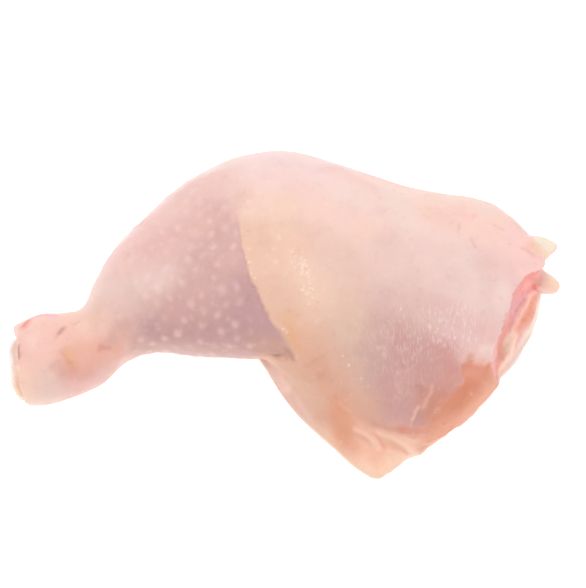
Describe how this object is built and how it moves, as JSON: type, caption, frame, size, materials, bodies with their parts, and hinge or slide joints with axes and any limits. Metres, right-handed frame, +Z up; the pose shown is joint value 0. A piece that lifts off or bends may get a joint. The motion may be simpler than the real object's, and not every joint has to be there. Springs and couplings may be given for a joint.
{
  "type": "raw chicken leg quarter",
  "caption": "Raw chicken leg quarter lying skin side up: drumstick and thigh in one piece, with a cut hock, a skin fold at the knee and a cut hip end.",
  "frame": {"origin": "middle of the bounding box seen from above, on the plane it rests on", "axes": "+X from the cut hock towards the cut hip end, +Y towards the knee, +Z up, skin side up"},
  "size_m": [0.198, 0.1235, 0.0423],
  "materials": {
    "skin": null,
    "gristle": null
  },
  "bodies": {
    "root": {"leg_quarter": "skin", "hock_cartilage": "gristle"}
  },
  "joints": []
}
